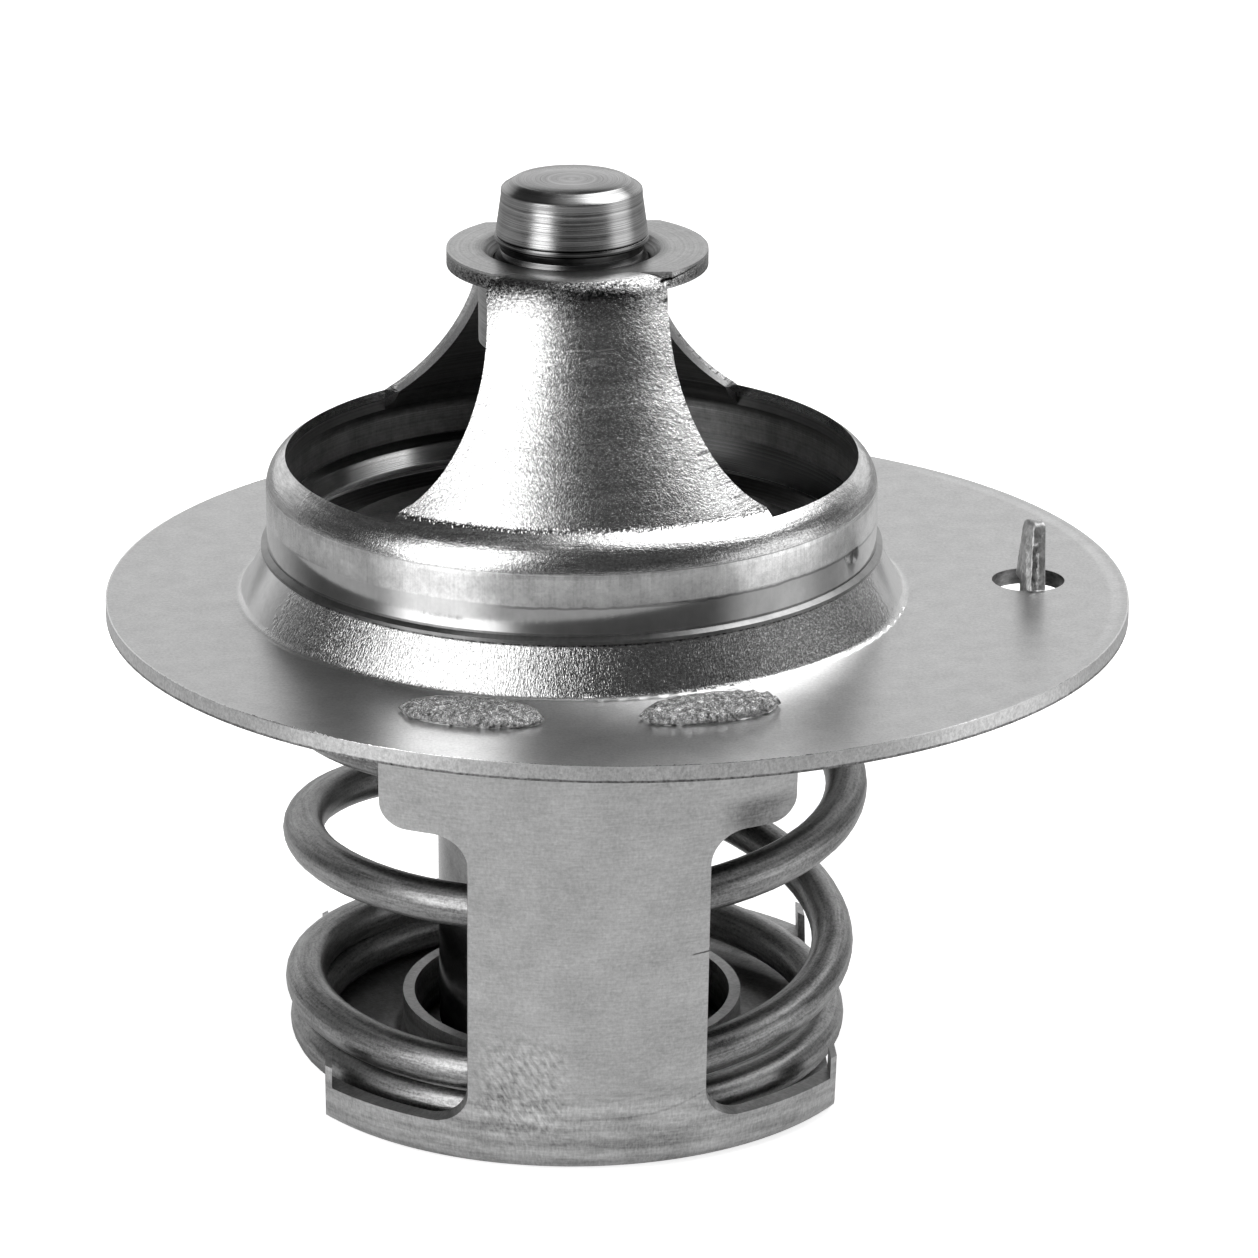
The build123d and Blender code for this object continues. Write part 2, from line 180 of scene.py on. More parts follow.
def placeInMm(shade):
    coords = shade.node("TexCoord", {}, {}, output="Object")
    return shade.node("VectorMath", {"operation": "SCALE"}, {0: coords, "Scale": 1 / mm})


def reach(x, y):    # distance from an upright axis
    return (x * x + y * y) ** 0.5


# Adds up a finish: grains raise the surface or swing its tone in a zone, and zones shift it as a whole
def addHeights(finish, grains, zones):
    height = 0
    for grain, amount, zone in finish["heights"]:
        height = grains[grain] * amount * zones[zone] + height if zone else grains[grain] * amount + height
    for zone, amount in finish["steps"].items():
        height = zones[zone] * amount + height
    return height


def addTones(finish, grains, zones):
    tone = finish["albedo"]
    for grain, span, dark, light, zone in finish["swings"]:
        swing = grains[grain].ranged(*span, dark, light)
        tone = swing * zones[zone] + tone if zone else swing + tone
    for zone, amount in finish["tones"].items():
        tone = zones[zone] * amount + tone
    return tone


def finishMetal(shade, colour, roughness, height, depth, anisotropic=0.0, metallic=1.0):
    inputs = {"Base Color": colour, "Roughness": roughness, "Metallic": metallic}
    if anisotropic:
        inputs["Anisotropic"] = anisotropic
    inputs["Normal"] = shade.node("Bump", {}, {"Strength": 1.0, "Distance": depth * mm, "Height": height})
    shader = shade.node("BsdfPrincipled", {}, inputs)
    shade.node("OutputMaterial", {}, {"Surface": shader})


def newMaterial(name):
    material = bpy.data.materials.new(name)
    material.use_nodes = True
    return material, Shade(material.node_tree)


# Upper frame, in millimetres. An edge is its place and its softness, a band its two edges and their softness.
frameSizes = {
    "flangeShift": 1.95,
    "flangeStart": (14.3, 0.25),
    "flangeTop": (0.3, 0.1),
    "rimStart": (21.9, 0.04),
    "rimTop": (-0.04, 0.03),
    "drawnStart": (21.45, 0.6),
    "drawnSide": (17, 5),
    "gapTop": (-0.60, 0.06),
    "footTop": (2.0, 0.05),
    "lipStart": (13.08, 0.02),
    "lip": (1.9, 2.42, 0.06),
    "wall": (2.0, 4.95, 0.08),
    "upperBand": (3.6, 4.95, 0.12),
    "border": (3.52, 0.05, 0.05),
    "borderSide": (-3.2, 1.5),
    "shoulder": (4.95, 6.42, 0.08),
    "legFoot": 6.42,
    "legStart": (6.42, 0.12),
    "fold": (13.9, 15.15, 0.5),
    "underHead": (14.45, 0.5),
    "headStart": (15.1, 0.1),
    "ring": (3.95, 0.7),
    "pinPlace": 19.78,
    "pinHole": (1.6, 0.03),
    "pinHoleTop": (-0.02, 0.03),
    "wallBore": (12.75, 0.1),
    "shoulderSlope": (0.52, 0.85),
    "shoulderBore": (11.2, 0.1),
    "legSkin": (6.3, 15.2, 11.9, 5.2),    # heights, and the radii of the outer skin there
    "legBore": (-0.45, 0.3),
    "footSlope": 0.6,
    "footBore": (13.75, 0.2),
    "legLeft": (-1.5, 3),
    "legRight": (2.6, 2),
    "liningTurn": (112, 152, 26),
    "lining": (2.0, 3.3, 0.5),
    "grittyTurn": (67, 4),    # the rest of the foot and the shoulder was ironed smooth
}
frameGrains = {    # space, size in millimetres, stretch, detail, roughness
    "grit": ("place", 0.15, even, 3, 0.85),
    "sparkle": ("place", 0.10, (0.8, 0.8, 1.3), 3, 0.8),
    "drawn": ("wrapped", 0.085, (1, 0.35, 1), 2, 0.8),
    "scratch": ("wrapped", 0.10, (1, 0.05, 1), 2, 0.5),
    "speck": ("place", 0.13, even, 2, 0.8),
    "blotch": ("place", 1.3, even, 3, 0.8),
    "rings": ("section", 0.10, even, 2, 0.6),
    "ragged": ("wrapped", 0.35, even, 2, 0.8),
    "ironed": ("wrapped", 0.16, (0.10, 1, 1), 3, 0.8),
    "bands": ("banded", 0.45, even, 3, 0.7),
    "dashes": ("dashed", 0.9, even, 2, 0.6),
    "scores": ("scored", 0.11, even, 1, 0.5),
}
frameFinish = {
    "albedo": 0.62,
    "bump": 0.020,
    "heights": [    # grain, height, zone
        ("grit", 1.0, "grittySkin"),
        ("ironed", 0.8, "shoulderSkin"),
        ("drawn", 1.3, "footSkin"),
        ("grit", 0.4, "footSkin"),
        ("speck", 0.12, "upperBandSkin"),
        ("speck", 0.3, "plain"),
        ("rings", 0.5, "inside"),
        ("rings", 0.4, "head"),
    ],
    "steps": {"drawnEdge": -3, "crease": -1.6, "tears": -1.5, "liningSlope": -15},
    "swings": [    # grain, span, darker by, lighter by, zone
        ("blotch", narrow, -0.04, 0.04, None),
        ("speck", wide, -0.08, 0.08, "plain"),
        ("scratch", narrow, -0.03, 0.03, "upperBand"),
        ("blotch", narrow, -0.10, 0.08, "upperBand"),
        ("speck", narrow, -0.06, 0.05, "upperBand"),
        ("scratch", narrow, -0.01, 0.01, "wall"),
        ("drawn", narrow, -0.10, 0.08, "rim"),
        ("sparkle", narrow, -0.24, 0.2, "grainy"),
        ("grit", narrow, -0.14, 0.12, "grainy"),
        ("ironed", narrow, -0.14, 0.12, "shoulderSkin"),
        ("bands", narrow, -0.08, 0.08, "legSkin"),
        ("rings", narrow, -0.14, 0.14, "ringed"),
    ],
    "tones": {
        # painted reflection: the wall's upper band is made lighter, as if it mirrored the floor past the flange
        "upperBand": 0.12,
        "wall": 0.04,
        "legSkin": 0.04,
        # painted light: the legs are lighter towards their left and right sides
        "legLeft": 0.10,
        "legRight": 0.12,
        "legBand": 0.07,
        "marks": 0.5,
        # painted shade under the head, at the top of the legs
        "underHead": -0.2,
        # painted shade: the fold at the top of the legs is darkened to dim its highlight
        "fold": -0.30,
        "head": -0.18,
        # painted shade: the lip is darkened to dim its reflection and for the shade under it
        "lip": -0.42,
        # painted reflection: a dark line along the wall where it mirrors the flange's edge
        "border": -0.3,
        "shadow": -0.4,
        # painted shade in the crease at the foot of the legs
        "crease": -0.3,
        "tears": -0.4,
    },
    "insideShade": 0.4,
    "ringShade": 0.65,
    "liningLight": 0.6,
    "holeShade": (1.05, 0.7),
    "roughness": {
        "flange": 0.31,
        "lip": 0.2,
        "foot": 0.18,
        "wall": 0.075,
        "upperBand": 0.16,
        "shoulder": 0.18,
        "leg": 0.2,
        "head": 0.3,
        "inside": 0.16,
    },
}
tearSizes = {
    "edge": [(6.4, 8.3, 2.7, 1.0), (8.3, 10.6, 0.0, -0.5), (10.6, 14.5, 0.0, 0.85)],    # the leg's cut edge
    "lean": (0.891, 0.454),
    "slant": 0.12,
    "spacing": 0.17,
    "share": (0.44, 0.06),
    "reach": (6.4, 10.0, 1.3, 0.3),
    "ragged": (2.4, 0.3),
    "end": (0.0, 0.3),
    "side": (-0.5, 1.0),
}
markSizes = {
    "scratches": (12.45, 0.30, 0.1),
    "middle": (-0.4, 1.9, 0.8),
    "scores": (0.54, 0.07),
    "dashes": (0.44, 0.1),
    "line": (10.7, 0.05, 0.08),
    "lineLight": 0.6,
    "band": (10.72, 11.5, 0.15),
}


def frameZones(x, y, z, turn, grains):
    s = frameSizes
    radius = reach(x, y)
    flangeRadius = reach(x - s["flangeShift"], y)
    zones = {"flange": radius.above(*s["flangeStart"]) * z.below(*s["flangeTop"])}
    flange = zones["flange"]
    foot = (1 - flange) * z.below(*s["footTop"])
    wall = z.between(*s["wall"])
    shoulder = z.between(*s["shoulder"])
    head = z.above(*s["headStart"])
    leg = z.above(*s["legStart"]) * (1 - head)
    zones.update({"foot": foot, "wall": wall, "shoulder": shoulder, "head": head, "leg": leg})

    slope = radius * s["shoulderSlope"][0] + z * s["shoulderSlope"][1]
    inside = radius.below(*s["wallBore"]) * slope.below(*s["shoulderBore"])
    inside = inside * shoulder.maths("MAXIMUM", wall)
    inside = inside.maths("MAXIMUM", leg * (radius - z.ranged(*s["legSkin"])).below(*s["legBore"]))
    inside = inside.maths("MAXIMUM", foot * (radius + z * s["footSlope"]).below(*s["footBore"]))
    outside = 1 - inside
    zones.update({"inside": inside, "outside": outside})

    # How far round each point is from the nearer leg
    sideTurn = (turn + 88).maths("ABSOLUTE").maths("MINIMUM", (turn - 90).maths("ABSOLUTE"))
    gritty = (sideTurn + (grains["ragged"] - 0.5) * 14).below(*s["grittyTurn"])
    rough = leg + shoulder * (gritty * 0.55 + 0.15)
    # The wall's upper band: its lighter tone is a painted reflection of the floor past the flange; its
    # scratches, blotches and roughness are its own
    upperBand = z.between(*s["upperBand"])
    lining = z.between(*s["lining"]) * inside * turn.between(*s["liningTurn"])
    rim = flangeRadius.above(*s["rimStart"]) * z.below(*s["rimTop"]) * flange
    # painted reflection: a dark line along the wall where it mirrors the flange's edge
    border, borderHalf, borderSoft = s["border"]
    borderPlace = z + (grains["blotch"] - 0.5) * 0.2
    zones.update({
        "rim": rim,
        "plain": flange + head,
        "drawnEdge": flangeRadius.above(*s["drawnStart"]) * flange * x.above(*s["drawnSide"]),
        "shadow": (z + (grains["ragged"] - 0.5) * 0.10).below(*s["gapTop"]) * rim,
        "upperBand": upperBand,
        "upperBandSkin": upperBand * outside,
        "footSkin": foot * outside * (gritty * 0.94 + 0.06),
        "shoulderSkin": shoulder * outside,
        "legSkin": leg * outside,
        "grittySkin": rough * outside,
        "grainy": (rough + foot * gritty) * outside,
        "ringed": inside + head * 0.5,
        # painted shade: the lip is darkened to dim its reflection and for the shade under it
        "lip": radius.above(*s["lipStart"]) * z.between(*s["lip"]),
        "border": borderPlace.near(border, borderHalf, borderSoft) * outside * x.above(*s["borderSide"]),
        # painted shade: the fold at the top of the legs is darkened to dim its highlight
        "fold": z.between(*s["fold"]) * leg,
        # painted shade under the head, at the top of the legs
        "underHead": z.above(*s["underHead"]) * leg,
        # painted light: the legs are lighter towards their left and right sides
        "legLeft": leg * x.below(*s["legLeft"]),
        "legRight": leg * x.above(*s["legRight"]),
        "lining": lining,
        "liningSlope": lining * z,
        "ring": head * radius.below(*s["ring"]),
        "holeWall": reach(x - s["pinPlace"], y).below(*s["pinHole"]) * z.below(*s["pinHoleTop"]),
    })
    return zones


# Crease at the foot of the legs, tears that run in from their cut edges, and scratches across the front
def addFrameMarks(shade, x, y, z, grains, zones):
    ragged = grains["ragged"]
    legSkin = zones["legSkin"]
    # The crease is a bump groove, and its darker tone is painted shade
    crease = (z + (ragged - 0.5) * 0.35).near(frameSizes["legFoot"], 0.05, 0.07)
    zones["crease"] = crease * zones["outside"] * reach(x, y).below(12.3, 0.2)

    t = tearSizes
    first, second, third = (z.ranged(*piece) for piece in t["edge"])
    depth = first + second + third - x.maths("ABSOLUTE") * t["lean"][0] + y.maths("ABSOLUTE") * t["lean"][1]
    along = shade.combine(0.0, 0.0, z + depth * t["slant"])
    tearLine = shade.grain(along, t["spacing"], detail=1, roughness=0.6).below(*t["share"])
    tearReach = z.ranged(*t["reach"]) * (ragged * t["ragged"][0] - t["ragged"][1])
    zones["tears"] = tearLine * (tearReach - depth).above(*t["end"]) * legSkin * x.above(*t["side"])

    m = markSizes
    marks = z.near(*m["scratches"]) * x.near(*m["middle"]) * grains["scores"].above(*m["scores"])
    marks = marks * grains["dashes"].above(*m["dashes"])
    marks = marks + z.near(*m["line"]) * grains["dashes"] * m["lineLight"]
    zones["marks"] = marks * legSkin
    zones["legBand"] = z.between(*m["band"]) * legSkin


def pressedFrame():
    f = frameFinish
    material, shade = newMaterial("pressedFrame")
    place = placeInMm(shade)
    x, y, z = shade.split(place)
    angle = y.maths("ARCTAN2", x)
    spaces = {
        "place": place,
        "wrapped": shade.combine(angle * 13, z, 0.0),
        "section": shade.combine(reach(x, y), 0.0, z),
        "banded": shade.combine(x * 0.08, 0.0, z),
        "dashed": shade.combine(x, 0.0, z * 4),
        "scored": shade.combine(x * 0.12, 0.0, z),
    }
    grains = shade.grains(spaces, frameGrains)
    zones = frameZones(x, y, z, angle * (180 / math.pi), grains)
    addFrameMarks(shade, x, y, z, grains, zones)

    colour = addTones(f, grains, zones)
    colour = colour * (1 - zones["inside"] * f["insideShade"]) * (1 - zones["ring"] * f["ringShade"])
    colour = colour + zones["lining"] * f["liningLight"]
    colour = colour * (1 - zones["holeWall"] * (f["holeShade"][0] - grains["ragged"] * f["holeShade"][1]))
    roughness = 0
    for zone, amount in f["roughness"].items():
        roughness = zones[zone] * amount + roughness
    finishMetal(shade, shade.grey(colour), roughness, addHeights(f, grains, zones), f["bump"])
    return material


# Turned steel: rings of tool lines, with painted shade on the plug's neck and chamfer bands
turnedFinish = {
    "albedo": 0.40,
    "roughness": (0.16, 0.26),
    "pitch": 0.05,
    "bump": 0.0025,
    "anisotropic": 0.6,
    "neck": (14.4, 15.92, 0.1),
    "chamfer": (17.75, 18.1, 0.06),
    "face": (18.12, 0.03),
    "heights": [("rings", 1.0, None), ("coarse", 0.8, None)],
    "steps": {},
    "swings": [
        ("rings", narrow, -0.12, 0.12, None),
        ("coarse", narrow, -0.05, 0.05, None),
        ("patch", wide, -0.05, 0.05, None),
    ],
    # painted shade: the neck darker where it meets the head, the chamfer darker to dim its highlight
    "tones": {"neck": -0.24, "chamfer": -0.10, "face": -0.07},
}


def turnedSteel():
    f = turnedFinish
    material, shade = newMaterial("turnedSteel")
    place = placeInMm(shade)
    x, y, z = shade.split(place)
    spaces = {"place": place, "along": shade.combine(z, reach(x, y), 0.0)}
    grains = shade.grains(spaces, {
        "rings": ("along", f["pitch"], even, 3, 0.7),
        "coarse": ("along", f["pitch"] * 4, even, 1),
        "patch": ("place", 1.2, even, 3),
    })
    zones = {"neck": z.between(*f["neck"]), "chamfer": z.between(*f["chamfer"]), "face": z.above(*f["face"])}
    tone = addTones(f, grains, zones)
    roughness = grains["patch"].ranged(*wide, *f["roughness"])
    height = addHeights(f, grains, zones)
    finishMetal(shade, shade.grey(tone), roughness, height, f["bump"], anisotropic=f["anisotropic"])
    return material


# Lower cage: rolled strip, with stretcher marks where it was bent and slanting mottle low on its left
cageSizes = {
    "low": (-17.6, 1.6),
    "patch": [(-2.7, 1.7, 1.6), (-17.4, 2.3, 2.0)],    # across and up: middle, half width, softness
    "corner": [(3.4, 1.1, 1.4), (-1.8, 1.1, 1.4)],
    "line": (-18.9, 0.05, 0.06),
    "lineBend": (0.16, 0.2, 1.2),
    "lineSide": (-1.5, 2.0),
    "seam": (-11.15, 0.035, 0.04),
    "seamStart": 4.6,
    "seamSlope": 0.12,
    "seamSide": (4.3, 5.5, 0.3),
    "darkPatch": [(0.0, 1.1, 1.6), (-4.9, 0.7, 0.8)],
    "darkPatchPlace": 7.2,
}
cageGrains = {
    "rolled": ("around", 0.10, (0.14, 1, 1), 2, 0.7),
    "grain": ("around", 0.09, (1, 0.3, 1), 2, 0.6),
    "speck": ("place", 0.15, even, 2, 0.8),
    "blotch": ("place", 3.0, even, 3, 0.6),
    "bends": ("bent", 0.55, even, 3, 0.6),
    "mottle": ("slant", 0.26, (1.6, 0.6, 1), 1, 0.5, 0.3),
    "ribs": ("around", 0.10, (1, 0.3, 1), 2),
}
cageFinish = {
    "albedo": 0.52,
    "roughness": (0.38, 0.48),
    "bump": 0.012,
    "heights": [
        ("rolled", 0.5, None),
        ("grain", 0.3, None),
        ("speck", 0.7, None),
        ("bends", 2.5, "low"),
        ("ribs", 0.8, None),
    ],
    "steps": {"line": -0.8},
    "swings": [
        ("rolled", wide, -0.05, 0.05, None),
        ("speck", wide, -0.06, 0.06, None),
        ("grain", wide, -0.03, 0.03, None),
        ("blotch", narrow, -0.05, 0.05, None),
        ("bends", narrow, -0.18, 0.12, "low"),
        ("ribs", narrow, -0.04, 0.06, "low"),
        ("mottle", wide, -0.17, 0.14, "mottled"),
    ],
    # painted shade along the crease line low on the strip; the groove itself is a bump
    "tones": {"line": -0.10, "seam": -0.4},
    "darkPatch": (0.3, 0.6, 0.1, 0.34),
}


def cageStrip():
    s, f = cageSizes, cageFinish
    material, shade = newMaterial("cageStrip")
    place = placeInMm(shade)
    x, y, z = shade.split(place)
    spaces = {
        "place": place,
        "around": shade.combine(y.maths("ARCTAN2", x) * 15, z, reach(x, y) * 0.3),
        "bent": shade.combine(x * 0.12, 0.0, z + x * 0.03),
        "slant": shade.combine(x * 0.86 + z * 0.5, z * 0.86 - x * 0.5, 0.0),
    }
    grains = shade.grains(spaces, cageGrains)
    low = z.below(*s["low"])
    grains["ribs"] = grains["ribs"] * low
    patch = x.near(*s["patch"][0]) * z.near(*s["patch"][1])
    corner = x.near(*s["corner"][0]) * z.near(*s["corner"][1])
    widen, shift, most = s["lineBend"]
    bend = (x * widen + shift).maths("POWER", 4).maths("MINIMUM", most) * x.above(0.0, 0.5)
    seamPlace = z - (x - s["seamStart"]) * s["seamSlope"]
    zones = {
        "low": low,
        "mottled": patch.maths("MAXIMUM", corner),
        # painted shade along the crease line low on the strip; the groove itself is a bump
        "line": (z - bend).near(*s["line"]) * x.above(*s["lineSide"]) * y.below(0.0, 0.1),
        "seam": seamPlace.near(*s["seam"]) * x.between(*s["seamSide"]),
    }
    # a darker patch high on the strip, right of its middle, deepest where the blotches are
    darkPatch = ((x - s["darkPatchPlace"]) * 0.8).near(*s["darkPatch"][0]) * z.near(*s["darkPatch"][1])
    tone = addTones(f, grains, zones) - darkPatch * grains["blotch"].ranged(*f["darkPatch"])
    roughness = grains["blotch"].ranged(*wide, *f["roughness"])
    finishMetal(shade, shade.grey(tone), roughness, addHeights(f, grains, zones), f["bump"])
    return material


def stakeMetal():
    finish = {"size": 0.26, "swing": (-0.36, 0.34), "albedo": 0.38, "roughness": 0.22, "bump": 0.09}
    material, shade = newMaterial("stakeMetal")
    lumps = shade.grain(placeInMm(shade), finish["size"], detail=4, roughness=0.95)
    tone = lumps.ranged(*narrow, *finish["swing"]) + finish["albedo"]
    finishMetal(shade, shade.grey(tone), finish["roughness"], lumps, finish["bump"])
    return material


# Spring wire: its lines run along the wire, on the place that the mesh carries
wireGrains = {
    "drawn": ("wire", 0.20, (1, 1, 0.08), 3, 0.75),
    "fine": ("wire", 0.07, (1, 1, 0.04), 2),
    "speck": ("wire", 0.12, even, 3, 0.7),
    "blotch": ("wire", 1.5, (1, 1, 0.2), 3),
}
wireFinish = {
    "albedo": 0.27,
    "roughness": (0.30, 0.40),
    "bump": 0.012,
    "heights": [("drawn", 0.5, None), ("fine", 0.4, None), ("speck", 0.8, None)],
    "steps": {},
    "swings": [
        ("drawn", narrow, -0.09, 0.08, None),
        ("blotch", wide, -0.07, 0.07, None),
        ("speck", narrow, -0.07, 0.07, None),
    ],
    "tones": {},
}


def springWire():
    f = wireFinish
    material, shade = newMaterial("springWire")
    coords = shade.node("Attribute", {"attribute_name": "wirePlace"}, {}, output="Vector")
    grains = shade.grains({"wire": coords}, wireGrains)
    roughness = grains["blotch"].ranged(*wide, *f["roughness"])
    height = addHeights(f, grains, {})
    finishMetal(shade, shade.grey(addTones(f, grains, {})), roughness, height, f["bump"])
    return material


# Hammered wire: streaks, and a dark cold shut that leans with the blade
hammeredFinish = {
    "albedo": 0.50,
    "roughness": 0.44,
    "bump": 0.015,
    "shut": (19.76, 0.12, 0.08),
    "lean": 0.0875,
    "wander": 0.4,
    "shutTop": (1.75, 0.1),
    "shutSide": (-0.3, 0.1),
    "heights": [("streaks", 1.0, None), ("blotch", 0.5, None)],
    "steps": {},
    "swings": [("streaks", narrow, -0.12, 0.12, None), ("blotch", narrow, -0.12, 0.12, None)],
    "tones": {"shut": -0.22},
}


def hammeredWire():
    f = hammeredFinish
    material, shade = newMaterial("hammeredWire")
    place = placeInMm(shade)
    x, y, z = shade.split(place)
    grains = shade.grains({"place": place}, {
        "streaks": ("place", 0.10, (1, 1, 0.25), 3, 0.7),
        "blotch": ("place", 0.5, even, 3, 0.6),
    })
    line = x - z * f["lean"] + (grains["blotch"] - 0.5) * f["wander"]
    zones = {"shut": line.near(*f["shut"]) * z.below(*f["shutTop"]) * y.below(*f["shutSide"])}
    height = addHeights(f, grains, zones)
    finishMetal(shade, shade.grey(addTones(f, grains, zones)), f["roughness"], height, f["bump"])
    return material


def plainMetal(name, albedo, roughness, grainSize=0.15, depth=0.006):
    material, shade = newMaterial(name)
    place = placeInMm(shade)
    speck = shade.grain(place, grainSize, detail=4, roughness=0.7)
    blotch = shade.grain(place, grainSize * 12, detail=3)
    tone = speck.ranged(*wide, -0.05, 0.05) + blotch.ranged(*wide, -0.06, 0.06) + albedo
    finishMetal(shade, shade.grey(tone), roughness, speck, depth)
    return material


def plainMatte(name, colour, roughness, grainSize=0.3, depth=0.01, darker=0.8):
    material, shade = newMaterial(name)
    speck = shade.grain(placeInMm(shade), grainSize, detail=4, roughness=0.7)
    tone = shade.blend(speck, (*(c * darker for c in colour), 1), (*colour, 1))
    finishMetal(shade, tone, roughness, speck, depth, metallic=0.0)
    return material


def coat(node, material):
    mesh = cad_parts[node].data
    mesh.materials.clear()
    mesh.materials.append(material)


turned = turnedSteel()
coat("upper_frame", pressedFrame())
coat("adjusting_plug", turned)
coat("piston", turned)
coat("element_guide", turned)
coat("lower_cage", cageStrip())
coat("valve_disc", plainMetal("discSteel", 0.14, 0.36))
coat("valve_seal", plainMatte("sealRubber", (0.02, 0.02, 0.02), 0.6))
coat("element_can", plainMetal("canMetal", 0.22, 0.16))
coat("backing_washer", plainMatte("washerPlastic", (0.85, 0.85, 0.82), 0.5))
coat("rubber_sleeve", plainMatte("sleeveRubber", (0.02, 0.02, 0.02), 0.6))
coat("wax_charge", plainMatte("waxFill", (0.7, 0.62, 0.45), 0.5))
coat("bleed_pin", plainMetal("pinMetal", 0.5, 0.3))
print("materials made")


def selectOnly(piece):
    bpy.ops.object.select_all(action="DESELECT")
    piece.select_set(True)
    bpy.context.view_layer.objects.active = piece


def addPiece(name, data):
    piece = bpy.data.objects.new(name, data)
    bpy.context.scene.collection.objects.link(piece)
    return piece


def meshPiece(name, points, edges, faces):
    mesh = bpy.data.meshes.new(name)
    mesh.from_pydata(points, edges, faces)
    return addPiece(name, mesh)


def finishPiece(piece, smooth, close=True):
    selectOnly(piece)
    bpy.ops.object.mode_set(mode="EDIT")
    bpy.ops.mesh.select_all(action="SELECT")
    if close:
        bpy.ops.mesh.remove_doubles(threshold=0.0005 * mm)
    bpy.ops.mesh.normals_make_consistent(inside=False)
    bpy.ops.object.mode_set(mode="OBJECT")
    bpy.ops.object.shade_smooth_by_angle(angle=math.radians(smooth))


# Main spring, in millimetres: the same turns as the solid, with a place along and round the wire for its
# finish
springSizes = {
    "wireRadius": 0.91,
    "bottomRadius": 11.18,
    "topRadius": 12.25,
    "footShift": -0.27,
    "headShift": 0.3,
    "floor": -19.71,
    "ceiling": -3.04,
    "startAngle": 90.0,
    "rises": [    # share of the height, every quarter turn
        0, 0, 0, 0.007, 0.058, 0.112, 0.1135, 0.217, 0.409,
        0.532, 0.572, 0.655, 0.808, 0.885, 0.942, 0.984, 1, 1,
    ],
    "stepsPerTurn": 72,
    "roundness": 8,
    "smooth": 40,
}


def springRise(turn):
    rises = springSizes["rises"]
    place = turn * 4
    index = min(int(place), len(rises) - 2)
    part = place - index
    before, start, end, after = (
        rises[min(max(index + step, 0), len(rises) - 1)] for step in (-1, 0, 1, 2)
    )
    bend = 2 * before - 5 * start + 4 * end - after + part * (3 * (start - end) + after - before)
    return min(max(start + part / 2 * (end - before + part * bend), 0), 1)


def springPoint(turn, turns):
    s = springSizes
    radius = s["bottomRadius"] + (s["topRadius"] - s["bottomRadius"]) * turn / turns
    angle = math.radians(s["startAngle"]) + math.tau * turn
    rise = springRise(turn)
    shift = s["footShift"] + (s["headShift"] - s["footShift"]) * rise
    height = s["floor"] + (s["ceiling"] - s["floor"]) * rise
    return Vector((shift + radius * math.cos(angle), radius * math.sin(angle), height)) * mm


def springCurve(path):
    curve = bpy.data.curves.new("mainSpring", "CURVE")
    curve.dimensions = "3D"
    spline = curve.splines.new("POLY")
    spline.points.add(len(path) - 1)
    for point, place in zip(spline.points, path):
        point.co = (*place, 1)
    curve.bevel_depth = springSizes["wireRadius"] * mm
    curve.bevel_resolution = springSizes["roundness"]
    curve.twist_mode = "Z_UP"
    return curve


def storeWirePlace(mesh, path):    # across the wire and along it, in millimetres
    ringSize = len(mesh.vertices) // len(path)
    along = [0.0]
    for a, b in zip(path, path[1:]):
        along.append(along[-1] + (b - a).length / mm)
    wirePlace = mesh.attributes.new("wirePlace", "FLOAT_VECTOR", "POINT")
    radius = springSizes["wireRadius"]
    for i in range(len(mesh.vertices)):
        ring = min(i // ringSize, len(path) - 1)
        turn = math.tau * (i % ringSize) / ringSize
        wirePlace.data[i].vector = (radius * math.cos(turn), radius * math.sin(turn), along[ring])


def makeSpring():
    turns = (len(springSizes["rises"]) - 1) / 4
    steps = int(turns * springSizes["stepsPerTurn"])
    path = [springPoint(turns * i / steps, turns) for i in range(steps + 1)]
    piece = addPiece("mainSpring", springCurve(path))
    selectOnly(piece)
    bpy.ops.object.convert(target="MESH")
    mesh = piece.data
    storeWirePlace(mesh, path)
    bpy.ops.object.mode_set(mode="EDIT")
    bpy.ops.mesh.select_all(action="SELECT")
    bpy.ops.mesh.fill_holes(sides=0)
    bpy.ops.mesh.normals_make_consistent(inside=False)
    bpy.ops.object.mode_set(mode="OBJECT")
    bpy.ops.object.shade_smooth_by_angle(angle=math.radians(springSizes["smooth"]))
    mesh.materials.clear()
    mesh.materials.append(springWire())
    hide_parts("main_spring")
    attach(piece, "frame")
    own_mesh(piece)


makeSpring()
print("spring made")


# Adjusting plug, in millimetres of radius and height: the tool's feed lines are real ridges, with a bead
# over the groove at the head
plugSizes = {
    "seed": 5,
    "nose": [
        (0.0, 18.155), (1.1, 18.155), (2.42, 18.14), (2.49, 18.11), (2.94, 17.82), (2.985, 17.77), (3.0, 17.68),
    ],
    "noseRadius": 3.0,
    "taper": 0.14,
    "turned": (17.5, 15.86),
    "bead": [(3.17, 15.84), (3.25, 15.80), (3.275, 15.72), (3.27, 15.62), (3.22, 15.56), (3.06, 15.5)],
    "collar": [(3.04, 15.2), (3.26, 14.8), (3.27, 14.5), (3.96, 14.5), (3.965, 14.4)],
    "shankRadius": 3.965,
    "shank": (14.3, 11.3),
    "bore": [(3.96, 11.2), (3.67, 10.905), (2.06, 10.905), (2.04, 11.0), (2.04, 15.75), (0.0, 15.75)],
    "pitch": 0.04,
    "ridge": 0.0022,
    "segments": 160,
    "smooth": 28,
}


